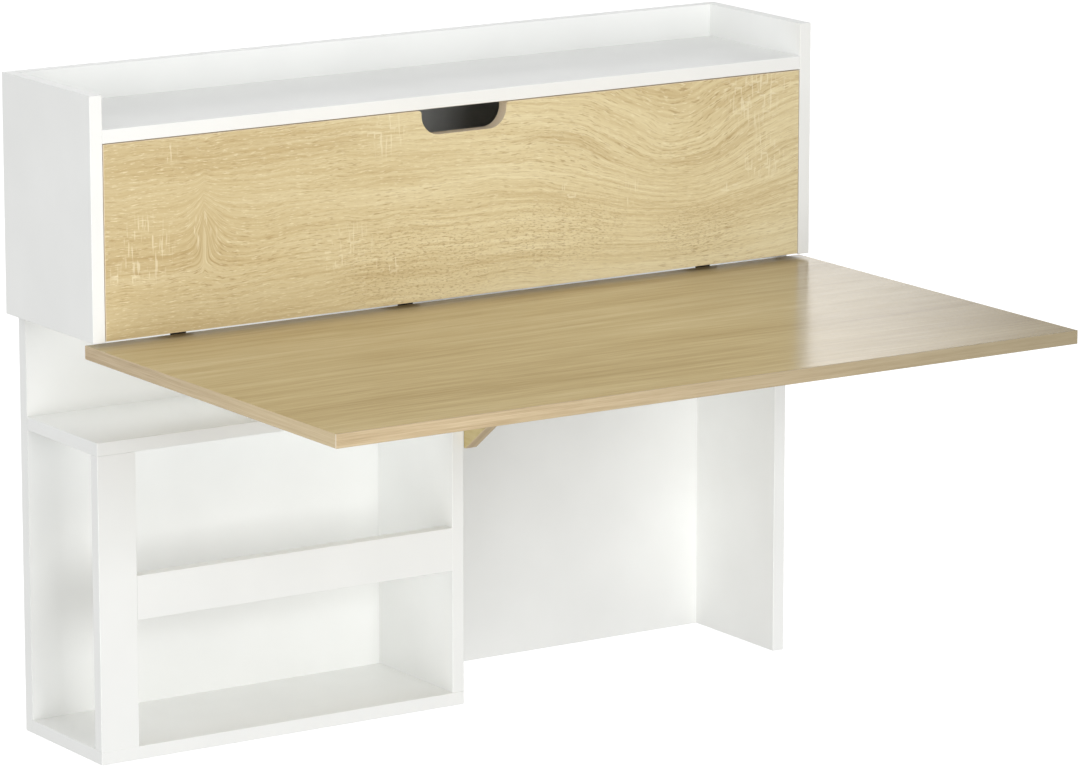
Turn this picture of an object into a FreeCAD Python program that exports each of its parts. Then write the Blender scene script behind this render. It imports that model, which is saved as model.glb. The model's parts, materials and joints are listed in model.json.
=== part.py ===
import FreeCAD, Part
import math
import os

os.makedirs("parts", exist_ok=True)

# Fold down wall desk, in millimetres. +X runs to the right, +Y into the wall and +Z up.
# The origin is the centre of the four wall screw holes, on the back face of the back panel.

# Laminated boards
board_thickness = 16.0
edge_rounding = 0.8

# Upper cabinet with its open tray on top
cabinet_width = 1000.0
cabinet_depth = 208.0
cabinet_height = 285.0
tray_drop = 40.0
floor_setback = 20.0

# Lower part: open shelf unit on the left, open bay on the right
lower_height = 505.0
lower_setback = 24.0
unit_width = 497.0
unit_height = 383.0
stile_width = 50.0
rail_height = 53.0
rail_level = 167.0

# Wall screw holes inside the cabinet
wall_hole_radius = 3.0
wall_hole_span = 760.0
wall_hole_rise = 140.0

# Flap of the cabinet and its finger cut-out
flap_end_gap = 1.0
flap_top_gap = 1.0
flap_bottom_gap = 1.0
grip_width = 118.0
grip_depth = 30.0
grip_corner_radius = 24.0
grip_flare_radius = 4.0
flap_pin_radius = 3.0
flap_pin_seat = 20.0
flap_pin_inset = 7.0
bush_radius = 5.0
bush_length = 11.0

# Desktop, hinged under the cabinet's front edge
desktop_depth = 551.0
desktop_drop = 5.0
desktop_tuck = 20.0
edging_thickness = 2.0

# Three leaf hinges of the desktop
desk_hinge_names = ("left", "middle", "right")
left_hinge_inset = 109.0
middle_hinge_offset = 80.0
right_hinge_inset = 125.0
hinge_axis_drop = 16.0
knuckle_radius = 3.5
hinge_pin_radius = 1.5
cabinet_knuckle_width = 8.0
desk_knuckle_width = 5.5
knuckle_gap = 0.5
hinge_leaf_thickness = 2.0
hinge_leaf_length = 36.0
hinge_leaf_margin = 4.0
recess_margin = 1.0
hinge_screw_spacing = 24.0
hinge_leaf_side_margin = 8.0

# Folding bracket under the desktop and its two hinges
bracket_side_gap = 1.5
bracket_top_gap = 0.3
bracket_overhang = 6.0
bracket_reach = 67.6
bracket_length = 210.5
bracket_tip = 14.0
bracket_heel = 4.0
bracket_hinge_names = ("rear", "front")
bracket_hinge_shares = (0.2, 0.62)
bracket_knuckle_radius = 3.0
bracket_leaf_thickness = 1.5
bracket_leaf_width = 22.0
bracket_leaf_length = 40.0
bracket_knuckle_length = 13.0

# Magnetic catches and strike plates of the flap
catch_inset = 84.0
catch_width = 46.0
catch_depth = 15.0
catch_height = 13.0
catch_lug_thickness = 3.0
catch_lug_length = 11.0
magnet_width = 30.0
magnet_height = 5.0
magnet_recess = 4.0
strike_width = 38.0
strike_height = 11.0
strike_thickness = 1.5
strike_gap = 0.3
strike_edge_margin = 1.0

# Dowels, cam fittings and screws
dowel_radius = 4.0
dowel_length = 30.0
dowel_side_depth = 10.0
cam_radius = 7.5
cam_depth = 12.5
cam_inset = 24.0
cam_bolt_radius = 3.0
cam_bolt_seat = 10.0
back_screw_radius = 2.0
back_screw_head_radius = 4.0
back_screw_length = 45.0
leaf_screw_radius = 1.6
leaf_screw_head_radius = 3.2
leaf_screw_length = 12.0
strike_screw_length = 10.0

# Places along a board, as shares of its length or depth
board_dowel_shares = (0.12, 0.88)
cam_shares = (0.32, 0.68)
back_screw_shares = (0.1, 0.5, 0.9)
upright_screw_shares = (0.15, 0.85)
strip_dowel_shares = (0.25, 0.75)
bracket_screw_share = 0.25

# Clearances and overruns
running_clearance = 0.05
cut_overrun = 5.0
same_place = 0.001

# Places that follow from the sizes
half_width = cabinet_width / 2
inner_half = half_width - board_thickness
tray_height = lower_height + cabinet_height - tray_drop
floor_height = lower_height + board_thickness
tray_under_height = tray_height - board_thickness
origin_height = (floor_height + tray_under_height) / 2

bottom_z = -origin_height
cabinet_z = lower_height - origin_height
top_z = lower_height + cabinet_height - origin_height
tray_z = tray_height - origin_height
tray_under_z = tray_under_height - origin_height
floor_z = floor_height - origin_height
unit_top_z = bottom_z + unit_height

back_y = -board_thickness
front_y = -cabinet_depth
unit_front_y = front_y + lower_setback
divider_x = unit_width - inner_half

flap_back_y = front_y + board_thickness
flap_bottom_z = cabinet_z + flap_bottom_gap
flap_top_z = tray_under_z - flap_top_gap
flap_half = inner_half - flap_end_gap
flap_axis_y = front_y + flap_pin_inset
flap_axis_z = flap_bottom_z + board_thickness / 2

desk_top_z = cabinet_z - desktop_drop
desk_under_z = desk_top_z - board_thickness
desk_back_y = front_y + desktop_tuck
desk_front_y = desk_back_y - desktop_depth

# The hinge line lies as far behind the front as it lies below the desktop's top face,
# so that the hanging desktop is flush with the cabinet.
hinge_axis_y = front_y + hinge_axis_drop - desktop_drop
hinge_axis_z = cabinet_z - hinge_axis_drop
hinge_leaf_width = hinge_screw_spacing + 2 * hinge_leaf_side_margin

# The outer hinges keep their distance from the sides and the middle one from the divider.
desk_hinge_places = (left_hinge_inset - inner_half, divider_x - middle_hinge_offset,
                     inner_half - right_hinge_inset)

bracket_back_y = desk_back_y + bracket_overhang
bracket_left_x = divider_x + bracket_side_gap
bracket_right_x = bracket_left_x + board_thickness
bracket_axis_x = bracket_right_x + bracket_knuckle_radius
bracket_axis_z = desk_under_z - bracket_knuckle_radius
bracket_top_z = desk_under_z - bracket_top_gap
bracket_foot_z = unit_top_z - bracket_reach

X_AXIS = FreeCAD.Vector(1, 0, 0)
Y_AXIS = FreeCAD.Vector(0, 1, 0)
Z_AXIS = FreeCAD.Vector(0, 0, 1)

parts = {}


def point(x, y, z):
    return FreeCAD.Vector(x, y, z)


def share_between(start, end, share):
    return start + (end - start) * share


def block(x0, x1, y0, y1, z0, z1):
    return Part.makeBox(x1 - x0, y1 - y0, z1 - z0, point(x0, y0, z0))


def edges_in_plane(shape, axis, place):
    found = []
    for edge in shape.Edges:
        gaps = [abs(vertex.Point[axis] - place) for vertex in edge.Vertexes]
        if max(gaps) < same_place:
            found.append(edge)
    return found


def eased(shape, *planes):
    # Rounds the banded edges that lie in the given planes.
    edges = []
    for axis, place in planes:
        for edge in edges_in_plane(shape, axis, place):
            if not any(edge.isSame(other) for other in edges):
                edges.append(edge)
    return shape.makeFillet(edge_rounding, edges)


def rod(centre, direction, radius, length):
    return Part.makeCylinder(radius, length, centre, direction)


def prism_along_x(outline, x0, x1):
    # Outline points are (y, z) pairs.
    points = [point(x0, y, z) for y, z in outline]
    face = Part.Face(Part.makePolygon(points + points[:1]))
    return face.extrude(point(x1 - x0, 0, 0))


def countersunk_screw(head_centre, direction, radius, head_radius, length):
    head_depth = head_radius - radius
    head = Part.makeCone(head_radius, radius, head_depth, head_centre, direction)
    shank = rod(head_centre, direction, radius, length - radius)
    tip_place = head_centre + direction * (length - radius)
    tip = Part.makeCone(radius, 0, radius, tip_place, direction)
    return head.fuse([shank, tip]).removeSplitter()


def leaf_screw(head_centre, direction, length=leaf_screw_length):
    return countersunk_screw(head_centre, direction, leaf_screw_radius, leaf_screw_head_radius, length)


def cut_all(shape, tools):
    for tool in tools:
        shape = shape.cut(tool)
    return shape


# Boards of the upper cabinet
left_side = eased(
    block(-half_width, -inner_half, front_y, 0, cabinet_z, top_z),
    (1, front_y), (2, top_z), (2, cabinet_z))
right_side = eased(
    block(inner_half, half_width, front_y, 0, cabinet_z, top_z),
    (1, front_y), (2, top_z), (2, cabinet_z))
tray_board = eased(
    block(-inner_half, inner_half, front_y, back_y, tray_under_z, tray_z), (1, front_y))
cabinet_floor = block(-inner_half, inner_half, front_y + floor_setback, back_y, cabinet_z, floor_z)
back_panel = eased(block(-inner_half, inner_half, back_y, 0, bottom_z, top_z), (2, top_z), (2, bottom_z))

# Boards of the lower part
unit_top_board = eased(
    block(-inner_half, divider_x, unit_front_y, back_y, unit_top_z - board_thickness, unit_top_z),
    (1, unit_front_y), (0, -inner_half), (0, divider_x))
unit_bottom_board = eased(
    block(-inner_half, divider_x, unit_front_y, back_y, bottom_z, bottom_z + board_thickness),
    (1, unit_front_y), (0, -inner_half), (0, divider_x))
upright_low_z = bottom_z + board_thickness
upright_high_z = unit_top_z - board_thickness
divider = eased(
    block(divider_x - board_thickness, divider_x, unit_front_y, back_y, upright_low_z, upright_high_z),
    (1, unit_front_y))
strip_back_y = unit_front_y + board_thickness
stile_right_x = stile_width - inner_half
stile = eased(
    block(-inner_half, stile_right_x, unit_front_y, strip_back_y, upright_low_z, upright_high_z),
    (0, -inner_half), (0, stile_right_x))
rail_low_z = bottom_z + rail_level
rail_high_z = rail_low_z + rail_height
rail_right_x = divider_x - board_thickness
rail = eased(
    block(stile_right_x, rail_right_x, unit_front_y, strip_back_y, rail_low_z, rail_high_z),
    (2, rail_low_z), (2, rail_high_z))
end_panel_x = inner_half - board_thickness
right_end_panel = eased(
    block(end_panel_x, inner_half, unit_front_y, back_y, bottom_z, cabinet_z),
    (1, unit_front_y), (2, bottom_z))


# Wall screw holes
for side in (-1, 1):
    for level in (-1, 1):
        hole_x = side * wall_hole_span / 2
        hole_z = level * wall_hole_rise / 2
        hole = rod(point(hole_x, back_y - cut_overrun, hole_z), Y_AXIS, wall_hole_radius,
                   board_thickness + 2 * cut_overrun)
        back_panel = back_panel.cut(hole)


# Dowels and cam fittings that join the tray board and the cabinet floor to the sides
def end_fittings(low_y, high_y, middle_z, under_z):
    dowels = []
    bolts = []
    cams = []
    for side in (-1, 1):
        outwards = X_AXIS * side
        for share in board_dowel_shares:
            y = share_between(low_y, high_y, share)
            start_x = side * (inner_half + dowel_side_depth - dowel_length)
            dowels.append(rod(point(start_x, y, middle_z), outwards, dowel_radius, dowel_length))
        for share in cam_shares:
            y = share_between(low_y, high_y, share)
            cam_x = side * (inner_half - cam_inset)
            bolt = rod(point(cam_x, y, middle_z), outwards, cam_bolt_radius, cam_inset + cam_bolt_seat)
            bolts.append(bolt)
            cams.append(rod(point(cam_x, y, under_z), Z_AXIS, cam_radius, cam_depth).cut(bolt))
    return dowels, bolts, cams


tray_dowels, tray_bolts, tray_cams = end_fittings(
    front_y, back_y, tray_z - board_thickness / 2, tray_under_z)
floor_dowels, floor_bolts, floor_cams = end_fittings(
    front_y + floor_setback, back_y, floor_z - board_thickness / 2, cabinet_z)

tray_board = cut_all(tray_board, tray_dowels + tray_bolts + tray_cams)
cabinet_floor = cut_all(cabinet_floor, floor_dowels + floor_bolts + floor_cams)
side_fittings = tray_dowels + tray_bolts + floor_dowels + floor_bolts
left_side = cut_all(left_side, side_fittings)
right_side = cut_all(right_side, side_fittings)


# Dowels of the lower part
def upright_dowel(x, y, seam_z):
    start = point(x, y, seam_z + dowel_side_depth - dowel_length)
    return rod(start, Z_AXIS, dowel_radius, dowel_length)


def standing_dowels(x, y):
    # One dowel up into the top board and one down into the bottom board.
    low = rod(point(x, y, upright_low_z - dowel_side_depth), Z_AXIS, dowel_radius, dowel_length)
    return [upright_dowel(x, y, upright_high_z), low]


strip_middle_y = unit_front_y + board_thickness / 2
stile_dowels = []
for share in strip_dowel_shares:
    stile_dowels += standing_dowels(share_between(-inner_half, stile_right_x, share), strip_middle_y)
divider_dowels = []
for share in board_dowel_shares:
    dowel_y = share_between(unit_front_y, back_y, share)
    divider_dowels += standing_dowels(divider_x - board_thickness / 2, dowel_y)
rail_dowels = []
for share in strip_dowel_shares:
    dowel_z = share_between(rail_low_z, rail_high_z, share)
    left_start = point(stile_right_x - dowel_length / 2, strip_middle_y, dowel_z)
    right_start = point(rail_right_x + dowel_side_depth - dowel_length, strip_middle_y, dowel_z)
    rail_dowels.append(rod(left_start, X_AXIS, dowel_radius, dowel_length))
    rail_dowels.append(rod(right_start, X_AXIS, dowel_radius, dowel_length))
end_panel_dowels = []
for dowel_share, cam_share in zip(board_dowel_shares, cam_shares):
    # Half way between the floor's own dowels and cams.
    dowel_y = share_between(front_y + floor_setback, back_y, (dowel_share + cam_share) / 2)
    end_panel_dowels.append(upright_dowel(end_panel_x + board_thickness / 2, dowel_y, cabinet_z))

stile = cut_all(stile, stile_dowels + rail_dowels)
rail = cut_all(rail, rail_dowels)
divider = cut_all(divider, divider_dowels + rail_dowels)
unit_top_board = cut_all(unit_top_board, stile_dowels + divider_dowels)
unit_bottom_board = cut_all(unit_bottom_board, stile_dowels + divider_dowels)
right_end_panel = cut_all(right_end_panel, end_panel_dowels)
cabinet_floor = cut_all(cabinet_floor, end_panel_dowels)


# Screws driven through the back panel into the boards in front of it
def back_screw(x, z):
    head = point(x, 0, z)
    return countersunk_screw(head, -Y_AXIS, back_screw_radius, back_screw_head_radius, back_screw_length)


def back_screw_row(low_x, high_x, z):
    return [back_screw(share_between(low_x, high_x, share), z) for share in back_screw_shares]


def back_screw_column(x, low_z, high_z):
    return [back_screw(x, share_between(low_z, high_z, share)) for share in upright_screw_shares]


tray_screws = back_screw_row(-inner_half, inner_half, tray_z - board_thickness / 2)
floor_screws = back_screw_row(-inner_half, inner_half, floor_z - board_thickness / 2)
unit_top_screws = back_screw_row(-inner_half, divider_x, unit_top_z - board_thickness / 2)
unit_bottom_screws = back_screw_row(-inner_half, divider_x, bottom_z + board_thickness / 2)
divider_screws = back_screw_column(divider_x - board_thickness / 2, upright_low_z, upright_high_z)
end_panel_screws = back_screw_column(end_panel_x + board_thickness / 2, bottom_z, cabinet_z)
back_screws = (tray_screws + floor_screws + unit_top_screws
               + unit_bottom_screws + divider_screws + end_panel_screws)

back_panel = cut_all(back_panel, back_screws)
tray_board = cut_all(tray_board, tray_screws)
cabinet_floor = cut_all(cabinet_floor, floor_screws)
unit_top_board = cut_all(unit_top_board, unit_top_screws)
unit_bottom_board = cut_all(unit_bottom_board, unit_bottom_screws)
divider = cut_all(divider, divider_screws)
right_end_panel = cut_all(right_end_panel, end_panel_screws)


# Flap with its finger cut-out
def quarter(centre_x, centre_z, radius, start_angle, end_angle):
    # A quarter circle in the plane of the flap's front.
    places = []
    for angle in (start_angle, (start_angle + end_angle) / 2, end_angle):
        turn = math.radians(angle)
        places.append(point(centre_x + radius * math.cos(turn), front_y, centre_z + radius * math.sin(turn)))
    return Part.Arc(*places).toShape()


def grip_cutter():
    half = grip_width / 2
    low = flap_top_z - grip_depth
    flare_x = half + grip_flare_radius
    flare_z = flap_top_z - grip_flare_radius
    corner_x = half - grip_corner_radius
    corner_z = low + grip_corner_radius
    over_z = flap_top_z + cut_overrun
    edges = [
        quarter(-flare_x, flare_z, grip_flare_radius, 90, 0),
        Part.makeLine(point(-half, front_y, flare_z), point(-half, front_y, corner_z)),
        quarter(-corner_x, corner_z, grip_corner_radius, 180, 270),
        Part.makeLine(point(-corner_x, front_y, low), point(corner_x, front_y, low)),
        quarter(corner_x, corner_z, grip_corner_radius, 270, 360),
        Part.makeLine(point(half, front_y, corner_z), point(half, front_y, flare_z)),
        quarter(flare_x, flare_z, grip_flare_radius, 180, 90),
        Part.makeLine(point(flare_x, front_y, flap_top_z), point(flare_x, front_y, over_z)),
        Part.makeLine(point(flare_x, front_y, over_z), point(-flare_x, front_y, over_z)),
        Part.makeLine(point(-flare_x, front_y, over_z), point(-flare_x, front_y, flap_top_z)),
    ]
    opening = Part.Face(Part.Wire(edges)).extrude(point(0, board_thickness + 2 * cut_overrun, 0))
    opening.translate(point(0, -cut_overrun, 0))
    return opening


flap = eased(
    block(-flap_half, flap_half, front_y, flap_back_y, flap_bottom_z, flap_top_z),
    (1, front_y), (1, flap_back_y))
flap = flap.cut(grip_cutter())

# Pivot pins in the flap's ends, turning in bushes in the cabinet's sides
flap_pins = {}
flap_bushes = {}
for name, side in (("left", -1), ("right", 1)):
    outwards = X_AXIS * side
    pin_start = point(side * (flap_half - flap_pin_seat), flap_axis_y, flap_axis_z)
    pin = rod(pin_start, outwards, flap_pin_radius, flap_pin_seat + flap_end_gap + bush_length)
    bush_start = point(side * inner_half, flap_axis_y, flap_axis_z)
    socket = rod(bush_start, outwards, bush_radius, bush_length)
    bore = rod(bush_start, outwards, flap_pin_radius + running_clearance, bush_length)
    flap_pins[name] = pin
    flap_bushes[name] = socket.cut(bore)
    flap = flap.cut(pin)
    left_side = left_side.cut(socket)
    right_side = right_side.cut(socket)


# Magnetic catches under the tray board, and strike plates on the back of the flap
def catch_parts(side):
    x = side * (inner_half - catch_inset)
    strike_top = flap_top_z - strike_edge_margin
    strike_back_y = flap_back_y + strike_thickness
    strike = block(x - strike_width / 2, x + strike_width / 2, flap_back_y, strike_back_y,
                   strike_top - strike_height, strike_top)
    strike_screw = leaf_screw(point(x, strike_back_y, strike_top - strike_height / 2), -Y_AXIS,
                              strike_screw_length)
    catch_front_y = strike_back_y + strike_gap
    catch_low_z = tray_under_z - catch_height
    body = block(x - catch_width / 2, x + catch_width / 2, catch_front_y, catch_front_y + catch_depth,
                 catch_low_z, tray_under_z)
    body = eased(body, (2, catch_low_z))
    magnet_z = catch_low_z + (catch_height - magnet_height) / 2
    magnet = block(x - magnet_width / 2, x + magnet_width / 2, catch_front_y, catch_front_y + magnet_recess,
                   magnet_z, magnet_z + magnet_height)
    screws = []
    lug_low_z = tray_under_z - catch_lug_thickness
    for end in (-1, 1):
        lug_inner = x + end * catch_width / 2
        lug_outer = lug_inner + end * catch_lug_length
        lug = block(min(lug_inner, lug_outer), max(lug_inner, lug_outer), catch_front_y,
                    catch_front_y + catch_depth, lug_low_z, tray_under_z)
        body = body.fuse(lug)
        screw_place = point((lug_inner + lug_outer) / 2, catch_front_y + catch_depth / 2, lug_low_z)
        screws.append(leaf_screw(screw_place, Z_AXIS))
    body = cut_all(body.removeSplitter(), screws + [magnet])
    return body, magnet, screws, strike.cut(strike_screw), strike_screw


catches = {}
magnets = []
strikes = {}
catch_screws = []
strike_screws = []
for name, side in (("left", -1), ("right", 1)):
    catch, magnet, screws, strike, strike_screw = catch_parts(side)
    catches[name] = catch
    strikes[name] = strike
    magnets.append(magnet)
    catch_screws += screws
    strike_screws.append(strike_screw)
tray_board = cut_all(tray_board, catch_screws)
flap = cut_all(flap, strike_screws)

# Desktop with a thick edging strip along its front
desk_core_front_y = desk_front_y + edging_thickness
desktop = eased(
    block(-half_width, half_width, desk_core_front_y, desk_back_y, desk_under_z, desk_top_z),
    (1, desk_back_y), (0, -half_width), (0, half_width))
desktop_front_edging = eased(
    block(-half_width, half_width, desk_front_y, desk_core_front_y, desk_under_z, desk_top_z),
    (1, desk_front_y))

# Leaf hinges of the desktop
hinge_half_width = cabinet_knuckle_width / 2 + knuckle_gap + desk_knuckle_width
recess_half_width = hinge_half_width + recess_margin
recess_front_y = hinge_axis_y - knuckle_radius - recess_margin
recess_top_z = hinge_axis_z + knuckle_radius + recess_margin


def cabinet_leaf(x):
    # A plate under the cabinet floor, a web down behind the desktop and an arm forward to the middle knuckle.
    plate_front_y = front_y + floor_setback + hinge_leaf_margin
    plate_low_z = cabinet_z - hinge_leaf_thickness
    plate = block(x - hinge_leaf_width / 2, x + hinge_leaf_width / 2, plate_front_y,
                  plate_front_y + hinge_leaf_length, plate_low_z, cabinet_z)
    web_back_y = plate_front_y + hinge_leaf_thickness
    arm_low_z = hinge_axis_z - hinge_leaf_thickness / 2
    web = block(x - hinge_half_width, x + hinge_half_width, plate_front_y, web_back_y, arm_low_z, cabinet_z)
    low_x = x - cabinet_knuckle_width / 2
    high_x = low_x + cabinet_knuckle_width
    arm = block(low_x, high_x, hinge_axis_y, web_back_y, arm_low_z, arm_low_z + hinge_leaf_thickness)
    knuckle = rod(point(low_x, hinge_axis_y, hinge_axis_z), X_AXIS, knuckle_radius, cabinet_knuckle_width)
    leaf = plate.fuse([web, arm, knuckle]).removeSplitter()
    screws = []
    for end in (-1, 1):
        head = point(x + end * hinge_screw_spacing / 2, plate_front_y + hinge_leaf_length / 2, plate_low_z)
        screws.append(leaf_screw(head, Z_AXIS))
    return leaf, screws


def desk_leaf(x):
    # A plate under the desktop, slotted for the arm, with two lugs up into the recess to the outer knuckles.
    plate_back_y = hinge_axis_y + knuckle_radius
    plate_front_y = hinge_axis_y - knuckle_radius - hinge_leaf_length
    plate_low_z = desk_under_z - hinge_leaf_thickness
    leaf = block(x - hinge_leaf_width / 2, x + hinge_leaf_width / 2, plate_front_y, plate_back_y,
                 plate_low_z, desk_under_z)
    slot_half_width = cabinet_knuckle_width / 2 + knuckle_gap
    slot = block(x - slot_half_width, x + slot_half_width, recess_front_y, plate_back_y + cut_overrun,
                 plate_low_z - cut_overrun, desk_under_z + cut_overrun)
    leaf = leaf.cut(slot)
    for end in (-1, 1):
        low_x = x + min(end * hinge_half_width, end * (hinge_half_width - desk_knuckle_width))
        lug = block(low_x, low_x + desk_knuckle_width, hinge_axis_y - knuckle_radius, plate_back_y,
                    plate_low_z, hinge_axis_z)
        knuckle = rod(point(low_x, hinge_axis_y, hinge_axis_z), X_AXIS, knuckle_radius, desk_knuckle_width)
        leaf = leaf.fuse([lug, knuckle])
    bore = rod(point(x - hinge_half_width, hinge_axis_y, hinge_axis_z), X_AXIS,
               hinge_pin_radius + running_clearance, 2 * hinge_half_width)
    leaf = leaf.removeSplitter().cut(bore)
    screws = []
    for end in (-1, 1):
        head_y = plate_front_y + hinge_leaf_length / 2
        head = point(x + end * hinge_screw_spacing / 2, head_y, plate_low_z)
        screws.append(leaf_screw(head, Z_AXIS))
    return leaf, screws


cabinet_hinge_screws = []
desk_hinge_screws = []
for name, hinge_x in zip(desk_hinge_names, desk_hinge_places):
    pin = rod(point(hinge_x - hinge_half_width, hinge_axis_y, hinge_axis_z), X_AXIS, hinge_pin_radius,
              2 * hinge_half_width)
    leaf, screws = cabinet_leaf(hinge_x)
    parts["desk_hinge_" + name + "_cabinet_leaf"] = cut_all(leaf, screws + [pin])
    cabinet_hinge_screws += screws
    leaf, screws = desk_leaf(hinge_x)
    parts["desk_hinge_" + name + "_desk_leaf"] = cut_all(leaf, screws)
    desk_hinge_screws += screws
    parts["desk_hinge_" + name + "_pin"] = pin
    recess = block(hinge_x - recess_half_width, hinge_x + recess_half_width, recess_front_y,
                   desk_back_y + cut_overrun, desk_under_z - cut_overrun, recess_top_z)
    desktop = desktop.cut(recess)
cabinet_floor = cut_all(cabinet_floor, cabinet_hinge_screws)
desktop = cut_all(desktop, desk_hinge_screws)

# Triangular bracket, seen from the side: square corner under the back of the desktop
bracket_outline = [
    (bracket_back_y, bracket_top_z),
    (bracket_back_y - bracket_length, bracket_top_z),
    (bracket_back_y - bracket_length, bracket_top_z - bracket_tip),
    (bracket_back_y - bracket_heel, bracket_foot_z),
    (bracket_back_y, bracket_foot_z),
]
bracket = eased(
    prism_along_x(bracket_outline, bracket_left_x, bracket_right_x),
    (0, bracket_left_x), (0, bracket_right_x))


# Hinges that let the bracket fold sideways, flat against the desktop's underside
def bracket_hinge(middle_y):
    low_y = middle_y - bracket_leaf_length / 2
    high_y = middle_y + bracket_leaf_length / 2
    knuckle_seams = (low_y, low_y + bracket_knuckle_length, high_y - bracket_knuckle_length, high_y)
    desk_plate = block(bracket_axis_x, bracket_axis_x + bracket_leaf_width, low_y, high_y,
                       desk_under_z - bracket_leaf_thickness, desk_under_z)
    wing_plate = block(bracket_right_x, bracket_right_x + bracket_leaf_thickness, low_y, high_y,
                       bracket_axis_z - bracket_leaf_width, bracket_axis_z)
    barrel = rod(point(bracket_axis_x, low_y, bracket_axis_z), Y_AXIS, bracket_knuckle_radius,
                 bracket_leaf_length)
    pin = rod(point(bracket_axis_x, low_y, bracket_axis_z), Y_AXIS, hinge_pin_radius, bracket_leaf_length)
    bore = rod(point(bracket_axis_x, low_y, bracket_axis_z), Y_AXIS, hinge_pin_radius + running_clearance,
               bracket_leaf_length)
    reach = bracket_knuckle_radius + bracket_leaf_width
    middle_slice = block(bracket_axis_x - reach, bracket_axis_x + reach,
                         knuckle_seams[1] - knuckle_gap / 2, knuckle_seams[2] + knuckle_gap / 2,
                         bracket_axis_z - reach, bracket_axis_z + reach)
    running_slice = block(bracket_axis_x - reach, bracket_axis_x + reach,
                          knuckle_seams[1] + knuckle_gap / 2, knuckle_seams[2] - knuckle_gap / 2,
                          bracket_axis_z - reach, bracket_axis_z + reach)
    round_room = rod(point(bracket_axis_x, low_y, bracket_axis_z), Y_AXIS,
                     bracket_knuckle_radius + knuckle_gap, bracket_leaf_length)
    desk_leaf_solid = desk_plate.cut(round_room.common(middle_slice)).fuse(barrel.cut(middle_slice))
    wing_leaf_solid = wing_plate.cut(round_room.cut(running_slice)).fuse(barrel.common(running_slice))
    desk_screws = []
    wing_screws = []
    for end in (-1, 1):
        screw_y = middle_y + end * bracket_leaf_length * bracket_screw_share
        outwards = bracket_knuckle_radius + (bracket_leaf_width - bracket_knuckle_radius) / 2
        desk_head = point(bracket_axis_x + outwards, screw_y, desk_under_z - bracket_leaf_thickness)
        wing_head = point(bracket_right_x + bracket_leaf_thickness, screw_y, bracket_axis_z - outwards)
        desk_screws.append(leaf_screw(desk_head, Z_AXIS))
        wing_screws.append(leaf_screw(wing_head, -X_AXIS))
    desk_leaf_solid = cut_all(desk_leaf_solid.removeSplitter(), desk_screws + [pin])
    wing_leaf_solid = cut_all(wing_leaf_solid.removeSplitter(), wing_screws + [bore])
    return desk_leaf_solid, wing_leaf_solid, pin, desk_screws, wing_screws


bracket_desk_screws = []
bracket_wing_screws = []
for name, share in zip(bracket_hinge_names, bracket_hinge_shares):
    leaves = bracket_hinge(bracket_back_y - bracket_length * share)
    parts["bracket_hinge_" + name + "_desk_leaf"] = leaves[0]
    parts["bracket_hinge_" + name + "_bracket_leaf"] = leaves[1]
    parts["bracket_hinge_" + name + "_pin"] = leaves[2]
    bracket_desk_screws += leaves[3]
    bracket_wing_screws += leaves[4]
desktop = cut_all(desktop, bracket_desk_screws)
bracket = cut_all(bracket, bracket_wing_screws)

# Named pieces
parts["cabinet_left_side"] = left_side
parts["cabinet_right_side"] = right_side
parts["tray_board"] = tray_board
parts["cabinet_floor"] = cabinet_floor
parts["back_panel"] = back_panel
parts["unit_top_board"] = unit_top_board
parts["unit_bottom_board"] = unit_bottom_board
parts["divider"] = divider
parts["stile"] = stile
parts["rail"] = rail
parts["right_end_panel"] = right_end_panel
parts["flap"] = flap
parts["desktop"] = desktop
parts["desktop_front_edging"] = desktop_front_edging
parts["bracket"] = bracket
for name in ("left", "right"):
    parts["flap_pivot_pin_" + name] = flap_pins[name]
    parts["flap_pivot_bush_" + name] = flap_bushes[name]
    parts["magnetic_catch_" + name] = catches[name]
    parts["strike_plate_" + name] = strikes[name]
groups = {
    "catch_magnets": magnets,
    "catch_screws": catch_screws,
    "strike_screws": strike_screws,
    "tray_dowels": tray_dowels,
    "cabinet_floor_dowels": floor_dowels,
    "stile_dowels": stile_dowels,
    "rail_dowels": rail_dowels,
    "divider_dowels": divider_dowels,
    "end_panel_dowels": end_panel_dowels,
    "cam_bolts": tray_bolts + floor_bolts,
    "cam_locks": tray_cams + floor_cams,
    "back_panel_screws": back_screws,
    "desk_hinge_cabinet_screws": cabinet_hinge_screws,
    "desk_hinge_desk_screws": desk_hinge_screws,
    "bracket_hinge_desk_screws": bracket_desk_screws,
    "bracket_hinge_bracket_screws": bracket_wing_screws,
}
for name, solids in groups.items():
    parts[name] = Part.makeCompound(solids)

for name, shape in sorted(parts.items()):
    shape.exportStep(os.path.join("parts", name + ".step"))
print(len(parts), "pieces,", sum(len(shape.Solids) for shape in parts.values()), "solids")
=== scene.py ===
import bpy
import json
import math
from collections import namedtuple
from mathutils import Color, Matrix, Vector

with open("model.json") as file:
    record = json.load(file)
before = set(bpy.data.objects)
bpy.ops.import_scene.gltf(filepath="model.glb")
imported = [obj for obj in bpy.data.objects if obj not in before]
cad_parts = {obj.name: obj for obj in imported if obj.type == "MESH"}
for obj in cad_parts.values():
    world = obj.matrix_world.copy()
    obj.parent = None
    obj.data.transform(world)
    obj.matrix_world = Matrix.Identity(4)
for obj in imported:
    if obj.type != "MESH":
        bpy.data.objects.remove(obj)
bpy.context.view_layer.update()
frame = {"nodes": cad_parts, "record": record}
nodes = frame["nodes"]

# Grain of a decor: periods per metre along and across it, and its noise's seed, detail and roughness
Grain = namedtuple("Grain", "along across seed detail roughness", defaults=(0.0, 2.0, 0.5))
# Finish of a surface: roughness at the low and high limits of its grain, bump in metres, gloss and metal
Finish = namedtuple("Finish", "roughness bump specular metallic limits", defaults=(0.5, 0.0, (0.3, 0.7)))
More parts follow.
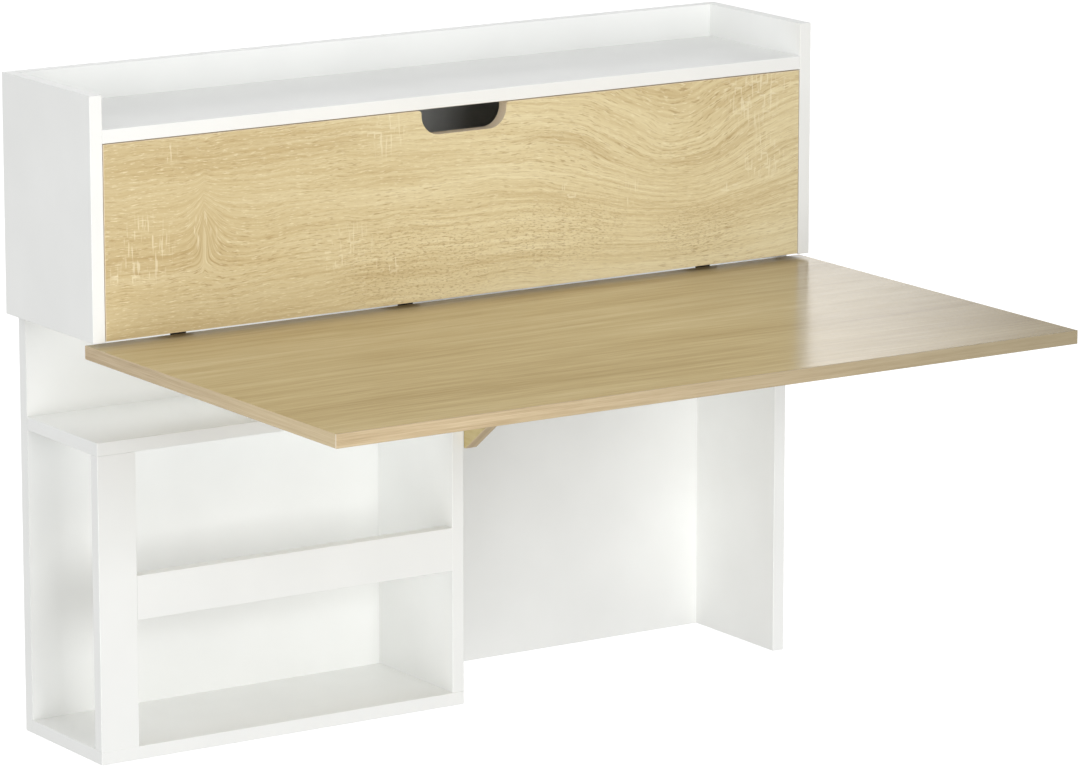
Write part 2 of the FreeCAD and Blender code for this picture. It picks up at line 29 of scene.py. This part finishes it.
# Speckled material of small parts: its two tones, specks per metre and finish
Speckle = namedtuple("Speckle", "dark light per_metre finish")
# Soft lobe of the sky: the way to its middle, its full core and its rim in degrees, and its strength
Lobe = namedtuple("Lobe", "yaw rise core rim strength")
# Weak lamp under a board: its middle in metres and its power in watts
Fill = namedtuple("Fill", "place power")

# Camera of the photograph: place in metres, angles in degrees, sensor in millimetres
picture_width = 1080
focal_pixels = 5958
sensor_width = 36.0
camera_place = Vector((-3.7014, -6.0280, 1.2623))
camera_yaw = 33.1948
camera_pitch = 12.2302

# Studio light: a pale sky, brighter overhead, with soft lobes
sky_level = 0.2
sky_overhead = 0.44
sky_below = 0.02
sky_lobes = {
    "behind_low": Lobe(yaw=33.0, rise=-12.0, core=0.0, rim=24.0, strength=0.4),
    "panel": Lobe(yaw=26.2, rise=13.0, core=10.4, rim=12.0, strength=1.6),
    "left": Lobe(yaw=267.0, rise=28.0, core=0.0, rim=44.0, strength=0.40),
    "front_left": Lobe(yaw=225.0, rise=5.0, core=0.0, rim=50.0, strength=0.27),
    "low_front_left": Lobe(yaw=230.0, rise=-25.0, core=0.0, rim=45.0, strength=1.34),
    "right": Lobe(yaw=97.0, rise=12.0, core=0.0, rim=50.0, strength=0.8),
    "back": Lobe(yaw=325.0, rise=12.0, core=0.0, rim=60.0, strength=0.5),
}

# Broad lamp in front of the desk
front_yaw = 188.0
front_rise = 5.0
front_distance = 3.4
front_size = 1.6
front_power = 50.0

# Weak lamps under the cabinet and under the shelf unit's top, all of one length and depth
fills = {
    "niche_fill": Fill(place=Vector((-0.265, -0.10, -0.128)), power=0.1),
    "unit_fill": Fill(place=Vector((-0.25, -0.10, -0.265)), power=0.06),
}
fill_length = 0.42
fill_depth = 0.12
down = Vector((0.0, 0.0, -1.0))

# Plain floor, at the height that puts the desktop's top at desk height
floor_z = -0.868
floor_size = 60.0
floor_glow = 1.2
white = (1.0, 1.0, 1.0, 1.0)
black = (0.0, 0.0, 0.0, 1.0)

# Values of all decors: tones are screen values from 0 to 255, each at its place on the grain's scale
screen_white = 255
noise_mean = 0.5

# A face is square to an axis by its normal's part along it, and a mark is full over a share of its reach
facing_limits = (0.75, 0.95)
core_share = 0.4

# White melamine laminate: faint clouds and a fine pearl, in periods per metre
cloud_scale = 9.0
cloud_detail = 3.0
pearl_scale = 900.0
laminate_tones = ((0.3, (242, 243, 241)), (0.7, (246, 247, 245)))
laminate_finish = Finish(roughness=(0.36, 0.46), bump=0.00004, specular=0.4, limits=(0.2, 0.8))

# Oak edging of all boards: fine and broad streaks along it
edging_fine = Grain(along=22.0, across=1100.0, detail=3.0, roughness=0.6)
edging_broad = Grain(along=5.0, across=260.0)
edging_seed_step = 5.0
edging_fine_share = 0.55
edging_broad_share = 0.45
edging_tones = ((0.32, (176, 152, 116)), (0.50, (200, 178, 142)), (0.68, (218, 198, 164)))

# Figure of the flap, in metres on its front: a bowl at the right, a crotch at the left, and a seam
bowl_x = 0.31
bowl_z = 0.02
bowl_reach = 0.13
bowl_height = 0.09
bowl_depth = 0.070
crotch_x = -0.353
crotch_z = 0.000
crotch_left_reach = 0.009
crotch_right_reach = 0.017
crotch_height = 0.038
crotch_rise = 0.050
seam_z = -0.046
seam_width = 0.0010
seam_from_x = -0.30
seam_to_x = -0.16
seam_share = 0.6

# Grain of the flap: the lines wander, and carry broad bands and finer streaks
flap_drift = Grain(along=2.4, across=5.0, seed=3.1)
flap_drift_depth = 0.030
flap_ripple = Grain(along=16.0, across=24.0, seed=4.7)
flap_ripple_depth = 0.010
flap_bands = Grain(along=1.5, across=15.0, seed=7.0, detail=3.0)
flap_band_share = 0.45
flap_streaks = Grain(along=6.0, across=230.0, seed=11.0, detail=3.0, roughness=0.6)
flap_streak_share = 0.55
flap_tones = ((0.32, (204, 182, 135)), (0.50, (226, 210, 166)), (0.68, (240, 228, 189)))
flap_finish = Finish(roughness=(0.46, 0.58), bump=0.00008, specular=0.35)
flap_edge_seed = 51.0
flap_edge_share = 0.75
flap_edge_colour = (252, 236, 210)

# Painted shade: the flap is made a little darker toward its left end.
flap_painted_shade_from_x = -0.55
flap_painted_shade_to_x = 0.10
flap_painted_shade_share = 0.46
flap_painted_shade_colour = (184, 160, 114)

# Shaded bands of the flap; a marked place is its middle across and up and its half length, in metres,
# and the flatness is length over height
shade_flatness = 8.0
shade_places = ((-0.29, 0.080, 0.24), (-0.41, -0.036, 0.14), (0.15, 0.062, 0.10), (0.37, 0.075, 0.10))
shade_share = 0.38
shade_streak_limits = (0.35, 0.65)
shade_streak_shares = (1.0, 0.5)
shade_colour = (184, 156, 104)

# Dark pores, thicker in some patches, and pale flecks
pore_grain = Grain(along=62.0, across=720.0, seed=21.0, roughness=0.6)
pore_limits = (0.54, 0.68)
pore_share = 0.75
pore_colour = (176, 148, 102)
pore_patches = Grain(along=7.0, across=13.0, seed=15.0)
pore_patch_limits = (0.35, 0.65)
pore_patch_shares = (0.40, 1.0)
fleck_grain = Grain(along=82.0, across=640.0, seed=29.0, roughness=0.6)
fleck_limits = (0.56, 0.70)
fleck_share = 0.56
fleck_colour = (244, 233, 198)

# Coarse speckle where the grain was torn
torn_flatness = 2.2
torn_places = ((-0.062, -0.078, 0.16), (0.135, -0.056, 0.13), (0.330, -0.075, 0.09))
torn_grain = Grain(along=190.0, across=560.0, seed=33.0, roughness=0.6)
torn_limits = (0.53, 0.67)
torn_share = 0.60
torn_colour = (170, 142, 98)

# Saw marks: broken outlines of squares, so many to the metre, and strokes across the grain
saw_flatness = 1.5
saw_places = (
    (-0.108, 0.088, 0.040), (0.420, 0.084, 0.066), (0.429, 0.000, 0.046), (0.381, -0.032, 0.020),
    (0.152, -0.010, 0.026), (-0.171, -0.048, 0.046), (-0.101, -0.070, 0.030), (-0.455, -0.046, 0.030),
)
square_x_scale = 66.0
square_z_scale = 44.0
square_reach = 0.30
square_line = 0.070
break_grain = Grain(along=75.0, across=55.0, seed=37.0, detail=1.0)
break_limits = (0.46, 0.54)
stroke_flatness = 0.9
stroke_places = (
    (-0.430, -0.020, 0.046), (-0.355, -0.006, 0.026), (-0.396, 0.088, 0.012), (0.232, -0.018, 0.022),
    (0.415, 0.080, 0.050), (0.428, 0.004, 0.034), (-0.108, 0.084, 0.034), (-0.150, -0.044, 0.030),
)
stroke_grain = Grain(along=330.0, across=34.0, seed=41.0, detail=1.0)
stroke_limits = (0.58, 0.66)
saw_share = 0.55
saw_height_share = 0.5
saw_colour = (242, 231, 198)

# Smoother oak of the desktop, under a glossy foil
desktop_drift = Grain(along=1.6, across=4.0, seed=2.3)
desktop_drift_depth = 0.04
desktop_bands = Grain(along=0.9, across=9.0, seed=5.0, detail=3.0)
desktop_band_share = 0.50
desktop_streaks = Grain(along=3.0, across=70.0, seed=9.0, detail=3.0, roughness=0.6)
desktop_streak_share = 0.44
desktop_lines = Grain(along=14.0, across=380.0, seed=13.0, roughness=0.6)
desktop_line_share = 0.26
desktop_tones = (
    (0.36, (164, 140, 92)), (0.47, (184, 162, 114)), (0.57, (198, 178, 131)),
    (0.68, (210, 192, 149)), (0.82, (224, 208, 166)),
)
desktop_finish = Finish(roughness=(0.17, 0.23), bump=0.00002)

# The desktop is painted darker toward its front and its right end, as painted shade, and lighter toward
# its back, as painted light, and its edge is painted paler toward the front, as painted light.
desktop_front_y = -0.735
desktop_back_y = -0.19
desktop_painted_shade_front_tone = -0.125
desktop_painted_light_back_tone = 0.035
desktop_painted_shade_from_x = 0.10
desktop_painted_shade_to_x = 0.60
desktop_painted_shade_share = 0.5
desktop_painted_shade_colour = (140, 124, 92)
desktop_edge_seed = 61.0
desktop_edge_painted_light_share = 0.42
desktop_edge_painted_light_colour = (236, 216, 170)

# Thick edging strip along the desktop's front, with painted shade that makes it darker toward the right,
# and with its pale core at the ends
strip_seed = 71.0
strip_painted_shade_from_x = -0.45
strip_painted_shade_to_x = 0.55
strip_painted_shade_shares = (0.10, 0.72)
strip_painted_shade_colour = (140, 131, 107)
strip_core_colour = (240, 228, 205)
strip_grain = Grain(along=22.0, across=1100.0, seed=strip_seed)
strip_finish = Finish(roughness=(0.38, 0.5), bump=0.00003)

# Light oak of the bracket
bracket_bands = Grain(along=4.0, across=40.0, seed=81.0, detail=3.0)
bracket_band_share = 0.5
bracket_streaks = Grain(along=12.0, across=220.0, seed=85.0, detail=3.0, roughness=0.6)
bracket_streak_share = 0.5
bracket_tones = ((0.3, (184, 162, 105)), (0.55, (205, 187, 132)), (0.75, (220, 205, 157)))
bracket_edge_seed = 91.0
bracket_finish = Finish(roughness=(0.45, 0.58), bump=0.00006)

# Beech of the dowels
beech_grain = Grain(along=60.0, across=900.0, seed=95.0, detail=3.0, roughness=0.6)
beech_tones = ((0.3, (190, 150, 108)), (0.7, (216, 182, 140)))
beech_finish = Finish(roughness=(0.55, 0.7), bump=0.00008)

# Metals and plastics of the fittings
speck_dark_at = 0.3
speck_light_at = 0.7
speck_detail = 3.0
speck_roughness = 0.6
speck_bump = 0.00003
speckles = {
    "black_steel": Speckle(
        dark=(16, 15, 14), light=(34, 33, 31), per_metre=700.0,
        finish=Finish(roughness=(0.35, 0.55), bump=speck_bump)),
    "zinc_steel": Speckle(
        dark=(150, 152, 156), light=(196, 198, 200), per_metre=400.0,
        finish=Finish(roughness=(0.25, 0.42), bump=speck_bump, metallic=1.0)),
    "white_plastic": Speckle(
        dark=(222, 222, 218), light=(236, 236, 233), per_metre=500.0,
        finish=Finish(roughness=(0.40, 0.52), bump=speck_bump)),
    "dark_magnet": Speckle(
        dark=(30, 30, 32), light=(58, 58, 60), per_metre=600.0,
        finish=Finish(roughness=(0.45, 0.65), bump=speck_bump)),
}

# Sockets of a Mix node that carry colour
mix_first_socket = 6
mix_second_socket = 7
mix_result_socket = 2


# Shader helpers
def add(tree, kind, **settings):
    node = tree.nodes.new("ShaderNode" + kind)
    for name, value in settings.items():
        setattr(node, name, value)
    return node


def feed(tree, socket, value):
    # A value is a number, a colour or another node's output.
    if isinstance(value, bpy.types.NodeSocket):
        tree.links.new(value, socket)
    else:
        socket.default_value = value


def feed_all(tree, node, values):
    # Feeds a node's sockets in their order and gives its first output.
    for socket, value in zip(node.inputs, values):
        feed(tree, socket, value)
    return node.outputs[0]


def calc(tree, operation, first, second=0.0, third=0.0):
    return feed_all(tree, add(tree, "Math", operation=operation), (first, second, third))


def times(tree, first, *others):
    for other in others:
        first = calc(tree, "MULTIPLY", first, other)
    return first


def weighed(tree, *layers):
    # Sum of values, each times its share.
    total = 0.0
    for value, share in layers:
        total = calc(tree, "MULTIPLY_ADD", value, share, total)
    return total


def between(tree, value, low, high, to_low=0.0, to_high=1.0):
    # Maps low..high smoothly to to_low..to_high.
    node = add(tree, "MapRange", interpolation_type="SMOOTHSTEP")
    return feed_all(tree, node, (value, low, high, to_low, to_high))


def combine(tree, x, y, z=0.0):
    return feed_all(tree, add(tree, "CombineXYZ"), (x, y, z))


def axes_of(tree, vector):
    split = add(tree, "SeparateXYZ")
    tree.links.new(vector, split.inputs[0])
    return split.outputs


def scaled(tree, vector, scale):
    node = add(tree, "VectorMath", operation="SCALE")
    tree.links.new(vector, node.inputs[0])
    node.inputs["Scale"].default_value = scale
    return node.outputs[0]


def noise(tree, vector, detail=2.0, roughness=0.5):
    node = add(tree, "TexNoise")
    feed(tree, node.inputs["Vector"], vector)
    node.inputs["Scale"].default_value = 1.0
    node.inputs["Detail"].default_value = detail
    node.inputs["Roughness"].default_value = roughness
    return node.outputs["Fac"]


def streaks(tree, along, across, grain):
    # Noise stretched along the grain.
    u = calc(tree, "MULTIPLY", along, grain.along)
    v = calc(tree, "MULTIPLY", across, grain.across)
    return noise(tree, combine(tree, u, v, grain.seed), grain.detail, grain.roughness)


def sway(tree, line, wave, depth):
    # Shifts the lines of a figure up and down by a noise around its mean.
    return calc(tree, "MULTIPLY_ADD", calc(tree, "SUBTRACT", wave, noise_mean), depth, line)


def bell(tree, value, middle, reach):
    # 1 at the middle, falling to almost nothing two reaches away.
    far = calc(tree, "DIVIDE", calc(tree, "SUBTRACT", value, middle), reach)
    return calc(tree, "EXPONENT", times(tree, far, far, -1.0))


def patches(tree, x, z, places, flatness):
    # 1 inside the given places, each with its middle and its half length, fading to 0 at their rims.
    point = combine(tree, x, calc(tree, "MULTIPLY", z, flatness))
    total = 0.0
    for middle_x, middle_z, reach in places:
        gap = add(tree, "VectorMath", operation="DISTANCE")
        tree.links.new(point, gap.inputs[0])
        gap.inputs[1].default_value = (middle_x, middle_z * flatness, 0.0)
        inside = between(tree, gap.outputs["Value"], core_share * reach, reach, to_low=1.0, to_high=0.0)
        total = calc(tree, "MAXIMUM", inside, total)
    return total


def outlines(tree, x, z, x_scale, z_scale, reach, width):
    # Thin outlines of squares, scattered as many to the metre as the scales say.
    cells = add(tree, "TexVoronoi", voronoi_dimensions="2D", distance="CHEBYCHEV")
    cells.inputs["Scale"].default_value = 1.0
    u = calc(tree, "MULTIPLY", x, x_scale)
    v = calc(tree, "MULTIPLY", z, z_scale)
    feed(tree, cells.inputs["Vector"], combine(tree, u, v))
    off = calc(tree, "ABSOLUTE", calc(tree, "SUBTRACT", cells.outputs["Distance"], reach))
    return between(tree, off, core_share * width, width, to_low=1.0, to_high=0.0)


def paint(tone):
    # The linear colour of a shader, from screen values.
    shares = [value / screen_white for value in tone]
    return (*Color(shares).from_srgb_to_scene_linear(), 1.0)


def ramp(tree, value, tones):
    node = add(tree, "ValToRGB")
    feed(tree, node.inputs[0], value)
    elements = node.color_ramp.elements
    while len(elements) < len(tones):
        elements.new(position=0.5)
    for element, (place, tone) in zip(elements, tones):
        element.position = place
        element.color = paint(tone)
    return node.outputs[0]


def blend(tree, share, first, second):
    # The second colour covers the first by its share.
    node = add(tree, "Mix", data_type="RGBA")
    feed(tree, node.inputs[0], share)
    feed(tree, node.inputs[mix_first_socket], first)
    feed(tree, node.inputs[mix_second_socket], second)
    return node.outputs[mix_result_socket]


def new_material(name):
    material = bpy.data.materials.new(name)
    material.use_nodes = True
    tree = material.node_tree
    place = add(tree, "TexCoord")
    return material, tree, place


def facing(tree, place, axis):
    # 1 on faces square to the axis, 0 on the edges.
    normal = axes_of(tree, place.outputs["Normal"])
    return between(tree, calc(tree, "ABSOLUTE", normal[axis]), *facing_limits)


def dress(tree, colour, grain, finish, height):
    # Gives the surface its colour, a roughness that follows its grain, and its bump.
    shader = tree.nodes["Principled BSDF"]
    feed(tree, shader.inputs["Base Color"], colour)
    feed(tree, shader.inputs["Roughness"], between(tree, grain, *finish.limits, *finish.roughness))
    shader.inputs["Specular IOR Level"].default_value = finish.specular
    shader.inputs["Metallic"].default_value = finish.metallic
    bump = add(tree, "Bump")
    bump.inputs["Strength"].default_value = 1.0
    bump.inputs["Distance"].default_value = finish.bump
    feed(tree, bump.inputs["Height"], height)
    tree.links.new(bump.outputs[0], shader.inputs["Normal"])


# Materials
def white_laminate():
    material, tree, place = new_material("white_laminate")
    cloud = noise(tree, scaled(tree, place.outputs["Object"], cloud_scale), cloud_detail)
    pearl = noise(tree, scaled(tree, place.outputs["Object"], pearl_scale))
    dress(tree, ramp(tree, cloud, laminate_tones), pearl, laminate_finish, pearl)
    return material


def edging_colour(tree, along, across, seed):
    fine = streaks(tree, along, across, edging_fine._replace(seed=seed))
    broad = streaks(tree, along, across, edging_broad._replace(seed=seed + edging_seed_step))
    value = weighed(tree, (broad, edging_broad_share), (fine, edging_fine_share))
    return ramp(tree, value, edging_tones)


def oak_flap():
    material, tree, place = new_material("oak_flap")
    x, _, z = axes_of(tree, place.outputs["Object"])

    # The lines run along the board, sink in the bowl and climb steeply to the crotch.
    line = sway(tree, z, streaks(tree, x, z, flap_drift), flap_drift_depth)
    line = sway(tree, line, streaks(tree, x, z, flap_ripple), flap_ripple_depth)
    bowl = times(tree, bell(tree, x, bowl_x, bowl_reach), bell(tree, z, bowl_z, bowl_height))
    line = calc(tree, "MULTIPLY_ADD", bowl, bowl_depth, line)
    aside = calc(tree, "SUBTRACT", x, crotch_x)
    left_climb = calc(tree, "DIVIDE", aside, crotch_left_reach)
    right_climb = calc(tree, "DIVIDE", aside, -crotch_right_reach)
    climb = calc(tree, "EXPONENT", calc(tree, "MINIMUM", left_climb, right_climb))
    climb = times(tree, climb, bell(tree, z, crotch_z, crotch_height))
    line = calc(tree, "MULTIPLY_ADD", climb, -crotch_rise, line)

    # Low tones: broad bands, finer streaks, shaded bands, the seam, and painted shade that darkens the
    # left end
    broad = streaks(tree, x, line, flap_bands)
    streak = streaks(tree, x, line, flap_streaks)
    value = weighed(tree, (streak, flap_streak_share), (broad, flap_band_share))
    colour = ramp(tree, value, flap_tones)
    thin = between(tree, streak, *shade_streak_limits, *shade_streak_shares)
    shade = times(tree, patches(tree, x, line, shade_places, shade_flatness), thin, shade_share)
    fade = between(tree, x, seam_from_x, seam_to_x, to_low=1.0, to_high=0.0)
    seam = times(tree, bell(tree, line, seam_z, seam_width), fade, seam_share)
    colour = blend(tree, calc(tree, "MAXIMUM", shade, seam), colour, paint(shade_colour))
    # Painted shade: darker toward the left end
    painted_shade = between(tree, x, flap_painted_shade_from_x, flap_painted_shade_to_x, to_low=flap_painted_shade_share, to_high=0.0)
    colour = blend(tree, painted_shade, colour, paint(flap_painted_shade_colour))

    # Pores and flecks, dashed along the grain
    thick = between(tree, streaks(tree, x, z, pore_patches), *pore_patch_limits, *pore_patch_shares)
    pores = times(tree, between(tree, streaks(tree, x, line, pore_grain), *pore_limits), thick)
    colour = blend(tree, times(tree, pores, pore_share), colour, paint(pore_colour))
    flecks = between(tree, streaks(tree, x, line, fleck_grain), *fleck_limits)
    colour = blend(tree, times(tree, flecks, fleck_share), colour, paint(fleck_colour))

    # Torn grain
    torn = between(tree, streaks(tree, x, line, torn_grain), *torn_limits)
    torn = times(tree, torn, patches(tree, x, z, torn_places, torn_flatness))
    colour = blend(tree, times(tree, torn, torn_share), colour, paint(torn_colour))

    # Saw marks
    squares = outlines(tree, x, z, square_x_scale, square_z_scale, square_reach, square_line)
    broken = between(tree, streaks(tree, x, z, break_grain), *break_limits)
    squares = times(tree, squares, broken, patches(tree, x, z, saw_places, saw_flatness))
    strokes = between(tree, streaks(tree, x, z, stroke_grain), *stroke_limits)
    strokes = times(tree, strokes, patches(tree, x, z, stroke_places, stroke_flatness))
    saw = calc(tree, "MAXIMUM", squares, strokes)
    colour = blend(tree, times(tree, saw, saw_share), colour, paint(saw_colour))

    edge = edging_colour(tree, x, z, flap_edge_seed)
    edge = blend(tree, flap_edge_share, edge, paint(flap_edge_colour))
    colour = blend(tree, facing(tree, place, "Y"), edge, colour)
    sunk = calc(tree, "MAXIMUM", pores, torn)
    height = calc(tree, "SUBTRACT", times(tree, saw, saw_height_share), sunk)
    dress(tree, colour, streak, flap_finish, height)
    return material


def oak_desktop():
    material, tree, place = new_material("oak_desktop")
    x, y, z = axes_of(tree, place.outputs["Object"])
    line = sway(tree, y, streaks(tree, x, y, desktop_drift), desktop_drift_depth)
    broad = streaks(tree, x, line, desktop_bands)
    streak = streaks(tree, x, line, desktop_streaks)
    fine = streaks(tree, x, line, desktop_lines)
    value = weighed(tree, (streak, desktop_streak_share), (broad, desktop_band_share),
                    (fine, desktop_line_share))
    # Painted shade toward the front and painted light toward the back
    painted_light_slope = between(tree, y, desktop_front_y, desktop_back_y, desktop_painted_shade_front_tone, desktop_painted_light_back_tone)
    colour = ramp(tree, calc(tree, "ADD", value, painted_light_slope), desktop_tones)
    # Painted shade: darker toward the right end
    painted_shade = between(tree, x, desktop_painted_shade_from_x, desktop_painted_shade_to_x, to_low=0.0, to_high=desktop_painted_shade_share)
    colour = blend(tree, painted_shade, colour, paint(desktop_painted_shade_colour))
    edge = edging_colour(tree, y, z, desktop_edge_seed)
    # Painted light: the edge paler toward the front
    painted_light = between(tree, y, desktop_front_y, desktop_back_y, to_low=desktop_edge_painted_light_share, to_high=0.0)
    edge = blend(tree, painted_light, edge, paint(desktop_edge_painted_light_colour))
    dress(tree, blend(tree, facing(tree, place, "Z"), edge, colour), fine, desktop_finish, fine)
    return material


def oak_edging():
    material, tree, place = new_material("oak_edging")
    x, y, z = axes_of(tree, place.outputs["Object"])
    strip = edging_colour(tree, x, calc(tree, "ADD", y, z), strip_seed)
    # Painted shade: the strip darker toward the right
    painted_shade = between(tree, x, strip_painted_shade_from_x, strip_painted_shade_to_x, *strip_painted_shade_shares)
    strip = blend(tree, painted_shade, strip, paint(strip_painted_shade_colour))
    colour = blend(tree, facing(tree, place, "X"), strip, paint(strip_core_colour))
    grain = streaks(tree, x, z, strip_grain)
    dress(tree, colour, grain, strip_finish, grain)
    return material


def oak_bracket():
    material, tree, place = new_material("oak_bracket")
    x, y, z = axes_of(tree, place.outputs["Object"])
    broad = streaks(tree, y, z, bracket_bands)
    streak = streaks(tree, y, z, bracket_streaks)
    value = weighed(tree, (streak, bracket_streak_share), (broad, bracket_band_share))
    colour = ramp(tree, value, bracket_tones)
    edge = edging_colour(tree, calc(tree, "ADD", y, z), x, bracket_edge_seed)
    dress(tree, blend(tree, facing(tree, place, "X"), edge, colour), streak, bracket_finish, streak)
    return material


def beech_dowel():
    material, tree, place = new_material("beech_dowel")
    x, y, z = axes_of(tree, place.outputs["Object"])
    grain = streaks(tree, calc(tree, "ADD", x, z), y, beech_grain)
    dress(tree, ramp(tree, grain, beech_tones), grain, beech_finish, grain)
    return material


def speckled(name, speckle):
    material, tree, place = new_material(name)
    spread = scaled(tree, place.outputs["Object"], speckle.per_metre)
    speck = noise(tree, spread, speck_detail, speck_roughness)
    tones = ((speck_dark_at, speckle.dark), (speck_light_at, speckle.light))
    dress(tree, ramp(tree, speck, tones), speck, speckle.finish, speck)
    return material


materials = {
    "white_laminate": white_laminate(),
    "oak_flap": oak_flap(),
    "oak_desktop": oak_desktop(),
    "oak_edging": oak_edging(),
    "oak_bracket": oak_bracket(),
    "beech_dowel": beech_dowel(),
}
for name, speckle in speckles.items():
    materials[name] = speckled(name, speckle)
for row in frame["record"]["subparts"]:
    node = nodes[row["node"]]
    node.data.materials.clear()
    node.data.materials.append(materials[row["material_slot"]])


# Light, floor and camera
def toward(yaw, rise):
    # Unit direction, turned to the right from straight into the wall and raised, in degrees.
    turn = math.radians(yaw)
    tilt = math.radians(rise)
    return Vector((math.sin(turn) * math.cos(tilt), math.cos(turn) * math.cos(tilt), math.sin(tilt)))


def studio_sky():
    world = bpy.data.worlds.new("studio")
    world.use_nodes = True
    tree = world.node_tree
    sky = tree.nodes["Background"]
    sky.inputs["Color"].default_value = white
    way = add(tree, "TexCoord").outputs["Generated"]
    up = axes_of(tree, way)["Z"]
    above = calc(tree, "MAXIMUM", up, 0.0)
    below = calc(tree, "MAXIMUM", times(tree, up, -1.0), 0.0)
    light = calc(tree, "MULTIPLY_ADD", above, sky_overhead, sky_level)
    light = calc(tree, "MULTIPLY_ADD", below, sky_below, light)
    for lobe in sky_lobes.values():
        aim = add(tree, "VectorMath", operation="DOT_PRODUCT")
        tree.links.new(way, aim.inputs[0])
        aim.inputs[1].default_value = toward(lobe.yaw, lobe.rise)
        rim = math.cos(math.radians(lobe.rim))
        core = math.cos(math.radians(lobe.core))
        glow = between(tree, aim.outputs["Value"], rim, core, to_low=0.0, to_high=lobe.strength)
        light = calc(tree, "ADD", light, glow)
    # The backdrop itself shows as plain white.
    path = add(tree, "LightPath")
    feed(tree, sky.inputs["Strength"], calc(tree, "MAXIMUM", light, path.outputs["Is Camera Ray"]))
    bpy.context.scene.world = world


def put(data, place, forward):
    # Adds a lamp or a camera at a place, looking forward.
    item = bpy.data.objects.new(data.name, data)
    item.location = place
    item.rotation_mode = "QUATERNION"
    item.rotation_quaternion = forward.to_track_quat("-Z", "Y")
    bpy.context.scene.collection.objects.link(item)
    return item


def add_lamp(name, place, forward, power, length, depth):
    # A soft lamp that no camera and no gloss shows.
    data = bpy.data.lights.new(name, "AREA")
    data.shape = "RECTANGLE"
    data.energy = power
    data.size = length
    data.size_y = depth
    lamp = put(data, place, forward)
    lamp.visible_camera = False
    lamp.visible_glossy = False


def studio_lamps():
    # The front lamp faces the desk, and each fill shines down into the open space under its board.
    front = toward(front_yaw, front_rise)
    add_lamp("front_light", front * front_distance, -front, front_power, front_size, front_size)
    for name, fill in fills.items():
        add_lamp(name, fill.place, down, fill.power, fill_length, fill_depth)


def plain_floor():
    # A white floor that glows evenly, so it shows no shadow, and leaves the light on the desk as it is
    half = 0.5 * floor_size
    corners = [(-half, -half, floor_z), (half, -half, floor_z),
               (half, half, floor_z), (-half, half, floor_z)]
    mesh = bpy.data.meshes.new("floor")
    mesh.from_pydata(corners, [], [(0, 1, 2, 3)])
    floor = bpy.data.objects.new("floor", mesh)
    bpy.context.scene.collection.objects.link(floor)
    material = bpy.data.materials.new("floor")
    material.use_nodes = True
    shader = material.node_tree.nodes["Principled BSDF"]
    shader.inputs["Base Color"].default_value = black
    shader.inputs["Specular IOR Level"].default_value = 0.0
    shader.inputs["Emission Color"].default_value = white
    shader.inputs["Emission Strength"].default_value = floor_glow
    mesh.materials.append(material)
    floor.visible_diffuse = False
    floor.visible_glossy = False
    floor.visible_shadow = False


def photo_camera():
    data = bpy.data.cameras.new("camera")
    data.sensor_width = sensor_width
    data.lens = focal_pixels / picture_width * sensor_width
    bpy.context.scene.camera = put(data, camera_place, toward(camera_yaw, -camera_pitch))


studio_sky()
studio_lamps()
plain_floor()
photo_camera()
bpy.context.scene.view_settings.view_transform = "Standard"
